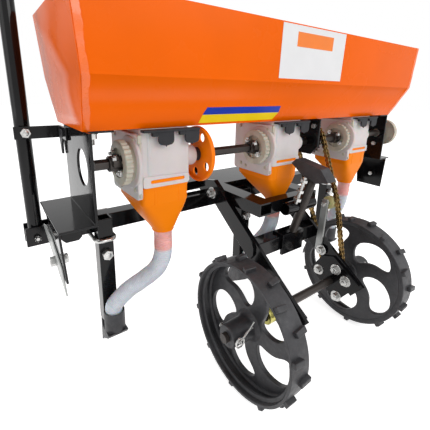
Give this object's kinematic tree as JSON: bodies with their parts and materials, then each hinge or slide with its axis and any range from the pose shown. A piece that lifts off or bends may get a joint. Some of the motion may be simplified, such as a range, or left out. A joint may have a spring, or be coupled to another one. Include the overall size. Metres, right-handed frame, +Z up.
{
  "type": "three-row seed drill",
  "caption": "Mounted seed drill for a walking tractor: orange hopper, seed metering units with hoses and openers, and a chain drive from two lugged wheels.",
  "frame": {"origin": "on the floor, below the middle of the whole machine's box", "axes": "+Z up, +Y the direction of travel (hitch side), X along the toolbar and the axle"},
  "size_m": [1.209, 0.7174, 0.925],
  "materials": {
    "orange_paint": "glossy",
    "orange_plastic": "satin",
    "milk_plastic": "satin",
    "ivory_plastic": "satin",
    "dark_plastic": "matte",
    "black_paint": "glossy",
    "cast_grey": "satin",
    "dark_steel": "satin",
    "zinc_steel": "satin",
    "chain_steel": "satin",
    "hose_plastic": "satin"
  },
  "bodies": {
    "root": {"hopper": "orange_paint", "meter_housing_1": "milk_plastic", "metering_dial_1": "ivory_plastic", "funnel_1": "orange_plastic", "seed_gate_1": "dark_plastic", "seed_hose_1": "hose_plastic", "opener_shank_1": "black_paint", "opener_boot_1": "cast_grey", "opener_clamp_1": "zinc_steel", "meter_housing_2": "milk_plastic", "metering_dial_2": "ivory_plastic", "funnel_2": "orange_plastic", "seed_gate_2": "dark_plastic", "seed_hose_2": "hose_plastic", "opener_shank_2": "black_paint", "opener_boot_2": "cast_grey", "opener_clamp_2": "zinc_steel", "meter_housing_3": "milk_plastic", "metering_dial_3": "ivory_plastic", "funnel_3": "orange_plastic", "seed_gate_3": "dark_plastic", "seed_hose_3": "hose_plastic", "opener_shank_3": "black_paint", "opener_boot_3": "cast_grey", "opener_clamp_3": "zinc_steel", "toolbar": "black_paint", "centre_frame": "black_paint", "drawbar": "black_paint", "hitch_plate": "black_paint", "side_plate_left": "black_paint", "covering_blade_left": "zinc_steel", "marker_bracket_left": "black_paint", "wheel_arm_left": "black_paint", "axle_bearing_left": "zinc_steel", "side_plate_right": "black_paint", "covering_blade_right": "zinc_steel", "marker_bracket_right": "black_paint", "wheel_arm_right": "black_paint", "axle_bearing_right": "zinc_steel", "marker_strap": "black_paint", "arm_cross_tube": "black_paint", "drive_chain": "chain_steel", "tensioner_bar": "zinc_steel", "tensioner_roller": "ivory_plastic", "adjuster_casting": "cast_grey", "adjuster_rod": "dark_steel", "adjuster_clamp": "black_paint", "shaft_hanger": "black_paint"},
    "axle": {"axle": "dark_steel", "wheel_left": "cast_grey", "wheel_right": "cast_grey", "axle_sprocket": "dark_steel"},
    "metering_shaft": {"metering_shaft": "dark_steel", "shaft_sprocket": "dark_steel", "index_disc": "orange_plastic", "end_dial": "ivory_plastic"},
    "marker": {"marker_arm": "black_paint", "marker_rod": "zinc_steel"}
  },
  "joints": [
    {"name": "wheel_spin", "type": "hinge", "parent": "root", "child": "axle", "pos_m": [0, -0.1938, 0.1649], "axis": [1, 0, 0], "continuous": true},
    {"name": "shaft_spin", "type": "hinge", "parent": "root", "child": "metering_shaft", "pos_m": [0, -0.0613, 0.547], "axis": [1, 0, 0], "continuous": true},
    {"name": "marker_swing", "type": "hinge", "parent": "root", "child": "marker", "pos_m": [-0.579, 0.1072, 0.368], "axis": [0, -1, 0], "range_deg": [0, 120]}
  ],
  "couplings": [
    {"joint": "shaft_spin", "follows": "wheel_spin", "ratio": 0.6368}
  ]
}
